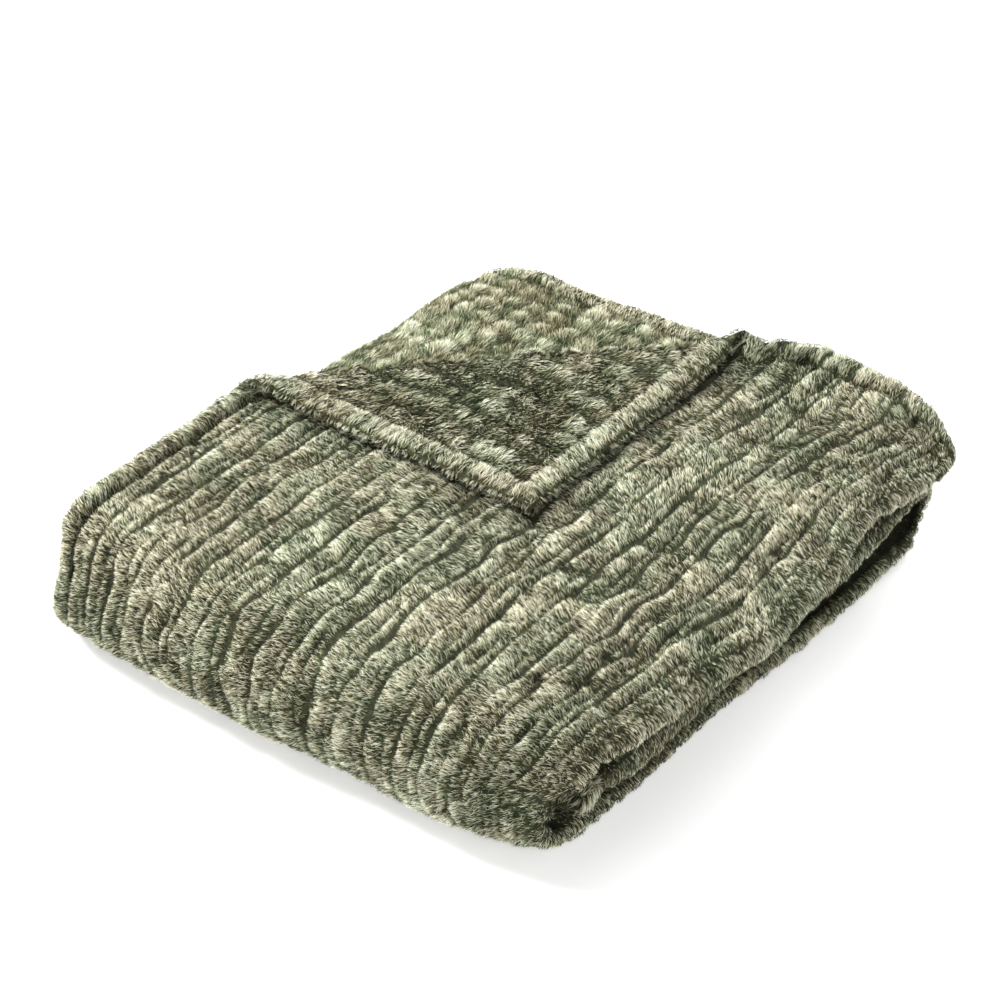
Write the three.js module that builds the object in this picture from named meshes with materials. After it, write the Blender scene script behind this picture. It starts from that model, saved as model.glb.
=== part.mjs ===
// A plush flannel throw, ribbed on its face, folded in thirds both ways with one top corner turned back.
//
// The cloth is one sheet. It is first folded in three across its ribs, so that a run is three plies thick:
// ply A with its ribs outward, ply B turned over under it and ply C under that. The run is then folded in
// three along the ribs: the top run goes round the tall front fold into the ground run, and that turns up
// at the back into the middle run, which ends inside the front fold.
// X runs across the ribs, Y along them to the back, Z up. The origin is on the ground under the middle.
import * as THREE from 'three';

// Driving dimensions, in millimetres
const foldedWidth = 433;
const foldedDepth = 504;
const plyPitch = 11.6;
const pliesInRun = 3;
const ribPitch = 21.5;
const turnedCornerEnd = 204;
const underPliesEnd = 222;
const turnedBack = 264;
const turnRadius = 6.6;
const hemWidth = 16;
const innerEdgeSetback = 20;
const middleRunReach = 12;

// How far the cloth reaches from its middle surface, on the ribbed face and on the back
const thickness = {
  ribCrest: 5.4,
  ribValley: 2.4,
  groove: 1.8,
  plainFace: 4.4,
  back: 4,
  backRib: 0.9,
  hemFace: 5.2,
  hemBack: 6,
  sideHemBack: 4.8,
  edge: 2.2,
};
// How uneven the ribs, their valleys and the lumps of the turned corner are, and where ribs have a break
const unevenness = { crest: 0.14, valley: 0.3, lump: 0.9, brokenAbove: 0.72, brokenCrest: 0.45 };

const plies = pliesInRun * 3;
const runThickness = pliesInRun * plyPitch;
const stackHeight = plies * plyPitch;
const sideX = foldedWidth / 2;
const wrapCentreY = -foldedDepth / 2 + stackHeight / 2;
const backCentreY = foldedDepth / 2 - runThickness;
const lipRadius = plyPitch / 2;
const lipCentreX = sideX - plyPitch;
const innerFoldCentreX = -sideX + plyPitch;
const turnLength = Math.PI * turnRadius * Math.SQRT2;

// The shortest stretch of cloth that the rows of the turned corner share out, and the longest beside it
const turnedRowsReach = { least: 8, beside: 64 };
// Rows of the turned corner from its hem to its fold line: on the hem, on its open part and round the bend
const turnedRows = [
  { kind: 'hem', hemWidths: 0, share: 0 },
  { kind: 'hem', hemWidths: 0.4, share: 0.1 },
  { kind: 'hem', hemWidths: 1, share: 0.2 },
  { kind: 'open', share: 0.25 },
  { kind: 'open', share: 0.5 },
  { kind: 'open', share: 0.75 },
  { kind: 'bend', share: 1 },
  { kind: 'bend', share: 0.67 },
  { kind: 'bend', share: 0.33 },
  { kind: 'bend', share: 0 },
];
const mostBend = 0.55;
// How many rows the other runs and folds have
const rowCounts = { top: 9, wrap: 8, ground: 4, back: 5 };
const middleRows = [0.28, 0.56, 0.82, 0.96, 1];
// Over how much of its length the middle run gets thinner to its end, and the share of it left there
const middleRunNose = { reach: 17, left: 0.55 };
// Where the points of the two under plies lie across the ribs, as shares of half the width
const underShares = [0.82, 0.62, 0.28, -0.28, -0.62, -0.82];

// A repeatable unevenness between -1 and 1 for a pair of whole numbers
function uneven(i, j) {
  const s = Math.sin(i * 127.1 + j * 311.7 + 17.3) * 43758.5453;
  return 2 * (s - Math.floor(s)) - 1;
}

function lerp(a, b, t) {
  return a + (b - a) * t;
}

function smooth(from, to, value) {
  const t = Math.min(1, Math.max(0, (value - from) / (to - from)));
  return t * t * (3 - 2 * t);
}

// The value of one named column of a table at a place along its first column, smoothly between rows
function along(table, key, column, place) {
  const last = table.length - 1;
  if (place <= table[0][key]) return table[0][column];
  if (place >= table[last][key]) return table[last][column];
  const i = table.findIndex((row) => row[key] > place);
  const a = table[i - 1];
  const b = table[i];
  return lerp(a[column], b[column], smooth(a[key], b[key], place));
}

// The cloth across its ribs. Each column of points has its place x, its depth under the run's outer side
// and the turn of its face, 0 outward and PI inward.
function columnsAcross() {
  const columns = [];
  const add = (x, depth, turn, kind, rib = 0) => columns.push({ x, depth, turn, kind, rib });
  const depthA = plyPitch / 2;
  const depthB = depthA + plyPitch;
  const depthC = depthB + plyPitch;
  add(-sideX, depthA, 0, 'edge');
  add(-sideX + 0.4 * hemWidth, depthA, 0, 'hem');
  add(-sideX + hemWidth, depthA, 0, 'groove');
  const ribStart = -sideX + hemWidth;
  const ribs = Math.round((lipCentreX - ribStart) / ribPitch);
  const half = (lipCentreX - ribStart) / ribs / 2;
  for (let i = 1; i <= 2 * ribs; i++) {
    add(ribStart + i * half, depthA, 0, i % 2 ? 'crest' : 'valley', i);
  }
  const lipSteps = 4;
  for (let i = 1; i <= lipSteps; i++) {
    const turn = (Math.PI * i) / lipSteps;
    const depth = depthA + lipRadius * (1 - Math.cos(turn));
    add(lipCentreX + lipRadius * Math.sin(turn), depth, turn, i === 2 ? 'crest' : 'plain', 2 * ribs + i);
  }
  underShares.forEach((share) => add(share * sideX, depthB, Math.PI, 'plain'));
  add(innerFoldCentreX, depthB, Math.PI, 'plain');
  const foldSteps = 3;
  for (let i = 1; i <= foldSteps; i++) {
    const turn = (Math.PI * i) / foldSteps;
    const depth = depthB + lipRadius * (1 - Math.cos(turn));
    add(innerFoldCentreX - lipRadius * Math.sin(turn), depth, Math.PI - turn, 'plain');
  }
  underShares.forEach((share) => add(-share * sideX, depthC, 0, 'plain'));
  add(sideX - innerEdgeSetback, depthC, 0, 'edge');
  return columns;
}

// The cloth along its ribs: rows of points on each run and fold, from the top run's hem to the end inside
function rowsAlong() {
  const rows = turnedRows.map((row) => ({ run: 'top', turned: true, ...row }));
  for (let i = 1; i <= rowCounts.top; i++) rows.push({ run: 'top', share: i / rowCounts.top });
  for (let i = 1; i <= rowCounts.wrap; i++) rows.push({ run: 'wrap', angle: (Math.PI * i) / rowCounts.wrap });
  for (let i = 1; i <= rowCounts.ground; i++) rows.push({ run: 'ground', share: i / rowCounts.ground });
  for (let i = 1; i <= rowCounts.back; i++) rows.push({ run: 'back', angle: (Math.PI * i) / rowCounts.back });
  middleRows.forEach((share) => rows.push({ run: 'middle', share }));
  return rows;
}

const columns = columnsAcross();
const rows = rowsAlong();
const lastOfA = columns.findIndex((column) => column.turn > 0) - 1;

// How far from the top run's hem a row of the turned corner lies, on one column
function turnedPlace(row, column, onA) {
  const toFoldLine = onA ? turnedBack - column.x - sideX : -turnedBack;
  const besideIt = Math.min(-toFoldLine, turnedRowsReach.beside);
  const reach = Math.max(toFoldLine > 0 ? toFoldLine : besideIt, turnedRowsReach.least);
  const hemEnd = Math.min(hemWidth, turnedRows[2].share * reach);
  const bendLength = Math.min(turnLength, mostBend * reach);
  if (row.kind === 'hem') return Math.min(row.hemWidths * hemWidth, row.share * reach);
  if (row.kind === 'open') return lerp(hemEnd, reach - bendLength, row.share);
  return reach - row.share * bendLength;
}

// The part of the top run beyond the corner's fold line turns over it and lies face down on the rest
function turnCorner(x, y) {
  const out = new THREE.Vector2(-Math.SQRT1_2, Math.SQRT1_2);
  const onLine = new THREE.Vector2(-sideX + turnedBack, turnedCornerEnd);
  const place = new THREE.Vector2(x, y);
  const beyond = place.clone().sub(onLine).dot(out);
  if (beyond <= 0) return { x, y, lift: 0, outward: 0, up: 1 };
  const bend = Math.min(beyond / turnRadius, Math.PI);
  const past = Math.max(0, beyond - Math.PI * turnRadius);
  place.addScaledVector(out, turnRadius * Math.sin(bend) - past - beyond);
  const up = Math.cos(bend);
  return { x: place.x, y: place.y, lift: turnRadius * (1 - up), outward: -Math.sin(bend), up };
}

// The middle surface of the cloth at one row and column, with the direction that its face looks
function middleSurface(row, column, onA) {
  const faceX = Math.sin(column.turn);
  const faceOut = Math.cos(column.turn);
  const { x, depth } = column;
  if (row.run === 'top') {
    const runEnd = onA ? along(topHemByWidth, 'x', 'y', x) : underPliesEnd;
    const start = runEnd - turnedPlace(turnedRows[turnedRows.length - 1], column, onA);
    const y = row.turned ? runEnd - turnedPlace(row, column, onA) : lerp(start, wrapCentreY, row.share);
    const z = stackHeight - depth;
    if (row.turned && onA && column.turn === 0) {
      const turned = turnCorner(x, y);
      const side = -Math.SQRT1_2 * turned.outward;
      return {
        place: new THREE.Vector3(turned.x, turned.y, z + turned.lift),
        face: new THREE.Vector3(side, -side, turned.up),
      };
    }
    return { place: new THREE.Vector3(x, y, z), face: new THREE.Vector3(faceX, 0, faceOut) };
  }
  if (row.run === 'wrap') {
    const radius = stackHeight / 2 - depth;
    const [s, c] = [Math.sin(row.angle), Math.cos(row.angle)];
    return {
      place: new THREE.Vector3(x, wrapCentreY - radius * s, stackHeight / 2 + radius * c),
      face: new THREE.Vector3(faceX, -faceOut * s, faceOut * c),
    };
  }
  if (row.run === 'ground') {
    return {
      place: new THREE.Vector3(x, lerp(wrapCentreY, backCentreY, row.share), depth),
      face: new THREE.Vector3(faceX, 0, -faceOut),
    };
  }
  if (row.run === 'back') {
    const radius = runThickness - depth;
    const [s, c] = [Math.sin(row.angle), Math.cos(row.angle)];
    return {
      place: new THREE.Vector3(x, backCentreY + radius * s, runThickness - radius * c),
      face: new THREE.Vector3(faceX, faceOut * s, -faceOut * c),
    };
  }
  const rounding = (depth - runThickness / 2) / (runThickness / 2);
  const end = wrapCentreY - middleRunReach * (1 - rounding * rounding);
  const nearEnd = Math.max(0, 1 - ((1 - row.share) * (backCentreY - wrapCentreY)) / middleRunNose.reach);
  const thinner = lerp(1, middleRunNose.left, nearEnd * nearEnd);
  const depthThere = (runThickness / 2) * (1 + rounding * thinner);
  return {
    place: new THREE.Vector3(x, lerp(backCentreY, end, row.share), 2 * runThickness - depthThere),
    face: new THREE.Vector3(faceX, 0, faceOut),
  };
}

// How far the ribbed face and the back stand off the middle surface at one row and column
function standOff(row, column, rowIndex, onA) {
  const t = thickness;
  const onGround = onA && (row.run === 'ground' || (row.run === 'wrap' && row.angle > 3.1));
  const hemmed = row.kind === 'hem' && onA && column.x < lipCentreX - ribPitch;
  const turnedOver = row.turned && onA && column.x + sideX < turnedBack;
  const ribbed = onA && row.run !== 'middle' && !turnedOver;
  const off = { face: t.plainFace, back: t.back };
  if (column.kind === 'edge' || rowIndex === 0 || rowIndex === rows.length - 1) {
    off.face = t.edge;
    off.back = t.edge;
  } else if (hemmed && row.hemWidths < 1) {
    off.face = t.hemFace;
    off.back = t.hemBack;
  } else if (column.kind === 'hem') {
    off.face = t.hemFace;
    off.back = row.turned ? t.hemBack : t.sideHemBack;
  } else if (turnedOver) {
    off.back += column.kind === 'crest' ? t.backRib : unevenness.lump * uneven(column.rib, rowIndex);
  } else if (ribbed && column.kind === 'crest') {
    const broken = uneven(column.rib, rowIndex) > unevenness.brokenAbove ? unevenness.brokenCrest : 1;
    const full = 1 - unevenness.crest + unevenness.crest * uneven(rowIndex, column.rib);
    off.face = lerp(t.ribValley, t.ribCrest, broken * full);
  } else if (ribbed && column.kind === 'valley') {
    off.face = t.ribValley + unevenness.valley * uneven(column.rib, rowIndex);
  } else if (ribbed && column.kind === 'groove') {
    off.face = t.groove;
  }
  if (onGround) off.face = plyPitch / 2;
  return off;
}

// Where ply A's hem lies at the top run's end, by width: it runs out to the back past the turned corner
const topHemByWidth = [
  { x: 48, y: turnedCornerEnd },
  { x: 60, y: 219 },
  { x: 76, y: 232 },
  { x: 100, y: 236 },
];

// How the folded stack lies: how far the lips of its three runs and its hem side stand out, by length, and
// how far its front and back ends stand in, by width
const lipsByLength = [
  { y: -252, top: -37, middle: -44, ground: -50 },
  { y: -212, top: -28, middle: -34, ground: -48 },
  { y: -160, top: -20, middle: -28, ground: -43 },
  { y: -100, top: -13, middle: -26, ground: -41 },
  { y: -45, top: -5, middle: -25, ground: -37 },
  { y: 30, top: -8, middle: -24, ground: -35 },
  { y: 110, top: -16, middle: -23, ground: -31 },
  { y: 150, top: -14, middle: -22, ground: -25 },
  { y: 185, top: -8, middle: -24, ground: -25 },
  { y: 215, top: -10, middle: -28, ground: -30 },
  { y: 252, top: -20, middle: -34, ground: -36 },
];
const hemSideByLength = [
  { y: -252, top: 21, ground: 9 },
  { y: -225, top: 10, ground: -2 },
  { y: -170, top: 5, ground: 1 },
  { y: -70, top: 1, ground: 5 },
  { y: -20, top: 7, ground: 9 },
  { y: 40, top: 13, ground: 11 },
  { y: 180, top: 16, ground: 11 },
  { y: 215, top: 25, ground: 19 },
  { y: 252, top: 37, ground: 29 },
];
const endsByWidth = [
  { x: -216, front: 13, back: -28 },
  { x: -190, front: 5, back: -10 },
  { x: -160, front: 3, back: -4 },
  { x: -110, front: 4, back: -7 },
  { x: -50, front: 4, back: -3 },
  { x: 90, front: 9, back: 0 },
  { x: 140, front: 16, back: -5 },
  { x: 180, front: 21, back: -17 },
  { x: 216, front: 28, back: -36 },
];
// How the lips sag, by length: the undersides of the top and middle ones down, the top of the ground one up
const sagByLength = [
  { y: -252, top: 4, middle: 7, ground: 0 },
  { y: -190, top: 8, middle: 10, ground: 3 },
  { y: -120, top: 9, middle: 11, ground: 4 },
  { y: 0, top: 8, middle: 12, ground: 5 },
  { y: 60, top: 7, middle: 14, ground: 6 },
  { y: 120, top: 7, middle: 13, ground: 5 },
  { y: 160, top: 6, middle: 6, ground: 1 },
  { y: 252, top: 4, middle: 3, ground: 2 },
];
// Heights between which the sag changes evenly, and how far in from the lips it reaches
const sagHeights = { from: 8, groundTop: 22, middleUnder: 46, middleTop: 70, topUnder: 82, to: 104.4 };
const sagReach = { from: 80, to: 30 };
// Where the end of the corner's fold stands higher, with the hem beside it
const earLifts = [
  { x: 60, y: 210, reachX: 30, reachY: 22, height: 9 },
  { x: 38, y: 202, reachX: 17, reachY: 16, height: 8 },
];
const earHeights = { from: 70, to: 95 };

// The heights of the stack's corners, how its edges are rounded and how far in its sides and ends are moved
const cornerHeights = { left: 1.02, front: 1, right: 0.98, rear: 0.97 };
const edgeRounding = { reach: 46, outside: 10, drop: 0.07, hemSideShare: 0.5 };
const settledReach = { side: 120, end: 140 };
// Shares of the height between which the ground lip passes into the middle one and that into the top one
const lipHeights = { groundTo: 0.2, middleFrom: 0.45, middleTo: 0.55, topFrom: 0.8 };
const hemSideHeights = { groundTo: 0.15, topFrom: 0.85 };
// Small waves of the sides, each with its length along them, its shift with height and its size
const sideWaves = [
  { length: 31, lean: 2, size: 1.6 },
  { length: 13.7, lean: 5, size: 1.1 },
];
const endWave = { length: 37, lean: 1.3, size: 1.2 };
const topDip = { acrossLength: 58, alongLength: 74, start: 0.6, share: 0.012 };

// How far out the lips are at one place along them and one share of the height
function lipAt(y, height) {
  const ground = along(lipsByLength, 'y', 'ground', y);
  const middle = along(lipsByLength, 'y', 'middle', y);
  const top = along(lipsByLength, 'y', 'top', y);
  const low = lerp(ground, middle, smooth(lipHeights.groundTo, lipHeights.middleFrom, height));
  return lerp(low, top, smooth(lipHeights.middleTo, lipHeights.topFrom, height));
}

// The share of the height that is left at a place: the corners differ, the edges are rounded, the top dips
function heightShare(x, y) {
  const across = (x + sideX) / foldedWidth;
  const deep = (y + foldedDepth / 2) / foldedDepth;
  const front = lerp(cornerHeights.left, cornerHeights.front, across);
  const rear = lerp(cornerHeights.rear, cornerHeights.right, across);
  const from = sideX - edgeRounding.reach;
  const to = sideX + edgeRounding.outside;
  const nearSides = smooth(from, to, x) + edgeRounding.hemSideShare * smooth(from, to, -x);
  const dip = Math.sin(x / topDip.acrossLength + topDip.start) * Math.sin(y / topDip.alongLength);
  return lerp(front, rear, deep) * (1 - edgeRounding.drop * nearSides) * (1 - topDip.share * dip);
}

// How far a point of the neatly folded stack is moved up or down near the lips and at the ear
function sagAt(x, y, z) {
  const h = sagHeights;
  const steps = [
    { z: 0, up: 0 },
    { z: h.from, up: 0 },
    { z: h.groundTop, up: along(sagByLength, 'y', 'ground', y) },
    { z: h.middleUnder, up: -along(sagByLength, 'y', 'middle', y) },
    { z: h.middleTop, up: 0 },
    { z: h.topUnder, up: -along(sagByLength, 'y', 'top', y) },
    { z: h.to, up: 0 },
  ];
  const i = steps.findIndex((step) => step.z > z);
  let sag = 0;
  if (i > 0) {
    const [below, above] = [steps[i - 1], steps[i]];
    sag = lerp(below.up, above.up, (z - below.z) / (above.z - below.z));
  }
  let ear = 0;
  earLifts.forEach((lift) => {
    ear += lift.height * Math.exp(-(((x - lift.x) / lift.reachX) ** 2) - ((y - lift.y) / lift.reachY) ** 2);
  });
  const nearLips = smooth(sideX - sagReach.from, sideX - sagReach.to, x);
  return sag * nearLips + ear * smooth(earHeights.from, earHeights.to, z);
}

// Moves a point of the neatly folded stack to where the soft stack lets it lie
function settle(point) {
  const { x, y, z } = point;
  const height = z / stackHeight;
  const toLip = smooth(sideX - settledReach.side, sideX, x);
  const toHemSide = smooth(sideX - settledReach.side, sideX, -x);
  const toFront = smooth(foldedDepth / 2 - settledReach.end, foldedDepth / 2, -y);
  const toBack = smooth(foldedDepth / 2 - settledReach.end, foldedDepth / 2, y);
  const high = smooth(hemSideHeights.groundTo, hemSideHeights.topFrom, height);
  const hemSideGround = along(hemSideByLength, 'y', 'ground', y);
  const hemSideTop = along(hemSideByLength, 'y', 'top', y);
  let wave = 0;
  sideWaves.forEach((w) => {
    wave += w.size * Math.sin(y / w.length + w.lean * height);
  });
  const roll = endWave.size * Math.sin(x / endWave.length + endWave.lean * height);
  const front = along(endsByWidth, 'x', 'front', x) + roll;
  const back = along(endsByWidth, 'x', 'back', x) + roll;
  return new THREE.Vector3(
    x + toLip * (lipAt(y, height) + wave) + toHemSide * (lerp(hemSideGround, hemSideTop, high) - wave),
    y + toFront * front + toBack * back,
    (z + sagAt(x, y, z)) * heightShare(x, y),
  );
}

// The closed skin of the sheet: the ribbed face, the back and a rim round the four edges
function sheetGeometry() {
  const places = [];
  rows.forEach((row, j) => {
    columns.forEach((column, i) => {
      const onA = i <= lastOfA + 4;
      const { place, face } = middleSurface(row, column, onA);
      const off = standOff(row, column, j, onA);
      const outer = settle(place.clone().addScaledVector(face, off.face));
      const inner = settle(place.clone().addScaledVector(face, -off.back));
      if (outer.z < 0.02) outer.z = 0;
      places.push(outer, inner);
    });
  });
  const at = (j, i, side) => 2 * (j * columns.length + i) + side;
  const index = [];
  const quad = (a, b, c, d) => index.push(a, b, c, a, c, d);
  const [lastRow, lastColumn] = [rows.length - 1, columns.length - 1];
  for (let j = 0; j < lastRow; j++) {
    for (let i = 0; i < lastColumn; i++) {
      quad(at(j, i, 0), at(j + 1, i, 0), at(j + 1, i + 1, 0), at(j, i + 1, 0));
      quad(at(j, i, 1), at(j, i + 1, 1), at(j + 1, i + 1, 1), at(j + 1, i, 1));
    }
  }
  for (let i = 0; i < lastColumn; i++) {
    quad(at(0, i, 0), at(0, i + 1, 0), at(0, i + 1, 1), at(0, i, 1));
    quad(at(lastRow, i, 0), at(lastRow, i, 1), at(lastRow, i + 1, 1), at(lastRow, i + 1, 0));
  }
  for (let j = 0; j < lastRow; j++) {
    quad(at(j, 0, 0), at(j, 0, 1), at(j + 1, 0, 1), at(j + 1, 0, 0));
    quad(at(j, lastColumn, 0), at(j + 1, lastColumn, 0), at(j + 1, lastColumn, 1), at(j, lastColumn, 1));
  }
  const geometry = new THREE.BufferGeometry();
  geometry.setAttribute('position', new THREE.Float32BufferAttribute(places.flatMap((p) => p.toArray()), 3));
  geometry.setIndex(index);
  geometry.computeVertexNormals();
  return geometry;
}

// The origin goes to the middle of the stack's outline, on the ground
function centred(geometry) {
  geometry.computeBoundingBox();
  const middle = geometry.boundingBox.getCenter(new THREE.Vector3());
  return geometry.translate(-middle.x, -middle.y, 0);
}

const plush = new THREE.MeshStandardMaterial({ color: 0x74745f, roughness: 0.95, metalness: 0 });

const throwSheet = new THREE.Mesh(centred(sheetGeometry()), plush);
throwSheet.name = 'throw';

const model = new THREE.Group();
model.add(throwSheet);

export default model;
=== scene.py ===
"""A plush flannel throw, ribbed on its face, folded in thirds both ways with one top corner turned back.

The cloth is one closed sheet on the folds of its CAD solid, and the pile on it is made as joined meshes of
fine blades. The sheet is a grid: its columns run across the ribs, round the lip and through the three plies,
and its rows run along the ribs, through the turned corner, the top run, the front wrap and the runs below.
"""

import math

import bpy
import numpy as np
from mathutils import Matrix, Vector
from mathutils.bvhtree import BVHTree


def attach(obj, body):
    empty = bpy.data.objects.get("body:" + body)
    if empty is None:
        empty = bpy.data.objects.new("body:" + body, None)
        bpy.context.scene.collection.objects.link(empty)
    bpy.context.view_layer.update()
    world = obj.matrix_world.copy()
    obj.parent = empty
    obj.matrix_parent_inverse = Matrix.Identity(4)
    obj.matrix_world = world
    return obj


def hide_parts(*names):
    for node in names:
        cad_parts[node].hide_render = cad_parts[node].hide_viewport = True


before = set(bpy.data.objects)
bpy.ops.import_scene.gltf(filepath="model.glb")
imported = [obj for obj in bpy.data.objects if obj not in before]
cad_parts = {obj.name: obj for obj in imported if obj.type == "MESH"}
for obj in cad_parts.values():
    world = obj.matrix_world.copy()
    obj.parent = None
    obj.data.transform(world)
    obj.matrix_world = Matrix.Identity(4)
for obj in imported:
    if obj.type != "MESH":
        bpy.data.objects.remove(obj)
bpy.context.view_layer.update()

MM = 0.001

# The folded stack, in millimetres, as in the CAD
FOLDED_WIDTH = 433.0
FOLDED_DEPTH = 504.0
PLY_PITCH = 11.6
RUN_THICKNESS = 3 * PLY_PITCH
STACK_HEIGHT = 9 * PLY_PITCH
SIDE_X = FOLDED_WIDTH / 2
WRAP_Y = -FOLDED_DEPTH / 2 + STACK_HEIGHT / 2
BACK_Y = FOLDED_DEPTH / 2 - RUN_THICKNESS
LIP_RADIUS = PLY_PITCH / 2
LIP_X = SIDE_X - PLY_PITCH
INNER_FOLD_X = -SIDE_X + PLY_PITCH
TURNED_CORNER_END = 204.0
UNDER_PLIES_END = 222.0
TURNED_BACK = 264.0
TURN_RADIUS = 6.6
TURN_LENGTH = math.pi * TURN_RADIUS * math.sqrt(2)
HEM = 16.0
INNER_EDGE_SETBACK = 20.0
MIDDLE_RUN_REACH = 12.0
RIBS = 19
RIB_START = -SIDE_X + HEM
RIB_PITCH = (LIP_X - RIB_START) / RIBS
# Where the middle of the settled stack's outline is before the origin is put there
CENTRE = (-2.282, 1.011)


def lerp(a, b, t):
    return a + (b - a) * t


def smooth(start, end, value):
    t = np.clip((value - start) / (end - start), 0, 1)
    return t * t * (3 - 2 * t)


def along(places, values, at):
    """The values at their places, joined by smooth steps."""
    places, values = np.asarray(places, float), np.asarray(values, float)
    i = np.clip(np.searchsorted(places, at, side="right") - 1, 0, len(places) - 2)
    return lerp(values[i], values[i + 1], smooth(places[i], places[i + 1], at))


def hashed(i, j, seed):
    """Repeatable values between 0 and 1 for pairs of whole numbers."""
    n = np.asarray(i, np.int64) * 374761393 + np.asarray(j, np.int64) * 668265263 + seed * 1274126177
    n = (n ^ (n >> 13)) & 0xFFFFFFFF
    n = (n * 1274126177) & 0xFFFFFFFF
    n = n ^ (n >> 16)
    return (n & 0xFFFFFF) / 0xFFFFFF


def noise(x, y, seed):
    """Smooth values between 0 and 1 that change over about 1 in x and in y."""
    x, y = np.broadcast_arrays(np.asarray(x, float), np.asarray(y, float))
    i, j = np.floor(x), np.floor(y)
    u, v = x - i, y - j
    u, v = u * u * (3 - 2 * u), v * v * (3 - 2 * v)
    low = lerp(hashed(i, j, seed), hashed(i + 1, j, seed), u)
    high = lerp(hashed(i, j + 1, seed), hashed(i + 1, j + 1, seed), u)
    return lerp(low, high, v)


def clouds(x, y, seed):
    """Noise of three sizes, about 0.5 on average."""
    middle, fine = noise(2.1 * x, 2.1 * y, seed + 1), noise(4.3 * x, 4.3 * y, seed + 2)
    return 0.55 * noise(x, y, seed) + 0.3 * middle + 0.15 * fine


def unit(v):
    """The vectors of the last axis at length 1."""
    return v / np.maximum(np.linalg.norm(v, axis=-1, keepdims=True), 1e-9)


# ---------------------------------------------------------------- the folds

TOP_HEM = ([48, 60, 76, 100], [TURNED_CORNER_END, 219, 232, 236])
LIP_Y = [-252, -212, -160, -100, -45, 30, 110, 150, 185, 215, 252]
LIP_TOP = [-37, -28, -20, -13, -5, -8, -16, -14, -8, -10, -20]
LIP_MIDDLE = [-44, -34, -28, -26, -25, -24, -23, -22, -24, -28, -34]
LIP_GROUND = [-50, -48, -43, -41, -37, -35, -31, -25, -25, -30, -36]
HEM_SIDE_Y = [-252, -225, -170, -70, -20, 40, 180, 215, 252]
HEM_SIDE_TOP = [21, 10, 5, 1, 7, 13, 16, 25, 37]
HEM_SIDE_GROUND = [9, -2, 1, 5, 9, 11, 11, 19, 29]
END_X = [-216, -190, -160, -110, -50, 90, 140, 180, 216]
END_FRONT = [13, 5, 3, 4, 4, 9, 16, 21, 28]
END_BACK = [-28, -10, -4, -7, -3, 0, -5, -17, -36]
CORNER_HEIGHTS = {"left": 1.02, "front": 1.0, "right": 0.98, "rear": 0.97}
SIDE_WAVES = [(31, 2, 1.6), (13.7, 5, 1.1)]
# How the lips sag, by length: the undersides of the top and middle ones down, the top of the ground one up
SAG_Y = [-252, -190, -120, 0, 60, 120, 160, 252]
SAG_TOP = [4, 8, 9, 8, 7, 7, 6, 4]
SAG_MIDDLE = [7, 10, 11, 12, 14, 13, 6, 3]
SAG_GROUND = [0, 3, 4, 5, 6, 5, 1, 2]
SAG_HEIGHTS = [0, 8, 22, 46, 70, 82, 104.4]
# Where the end of the corner's fold stands higher, with the hem beside it: place, reach and height
EAR_LIFTS = [(60, 210, 30, 22, 9), (38, 202, 17, 16, 8)]
# How far in from the sides and from the ends the stack is moved, and how much lower it is at the sides and in dips
SETTLED_SIDE, SETTLED_END = 120, 140
EDGE_START, EDGE_END, EDGE_DROP = 46, 10, 0.07
DIP_DROP = 0.012
ROLL = 1.2


def sag_at(x, y, z):
    """How far a point is moved up or down near the lips and at the end of the corner's fold."""
    zero = 0 * y
    ground, middle, top = (along(SAG_Y, sag, y) for sag in (SAG_GROUND, SAG_MIDDLE, SAG_TOP))
    ups = [zero, zero, ground, -middle, zero, -top, zero]
    sag = zero
    for low, high, up_low, up_high in zip(SAG_HEIGHTS, SAG_HEIGHTS[1:], ups, ups[1:]):
        share = (z - low) / (high - low)
        sag = np.where((share >= 0) & (share < 1), lerp(up_low, up_high, share), sag)
    ear = sum(up * np.exp(-(((x - ex) / rx) ** 2) - ((y - ey) / ry) ** 2) for ex, ey, rx, ry, up in EAR_LIFTS)
    return sag * smooth(SIDE_X - 80, SIDE_X - 30, x) + ear * smooth(70, 95, z)


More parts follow.
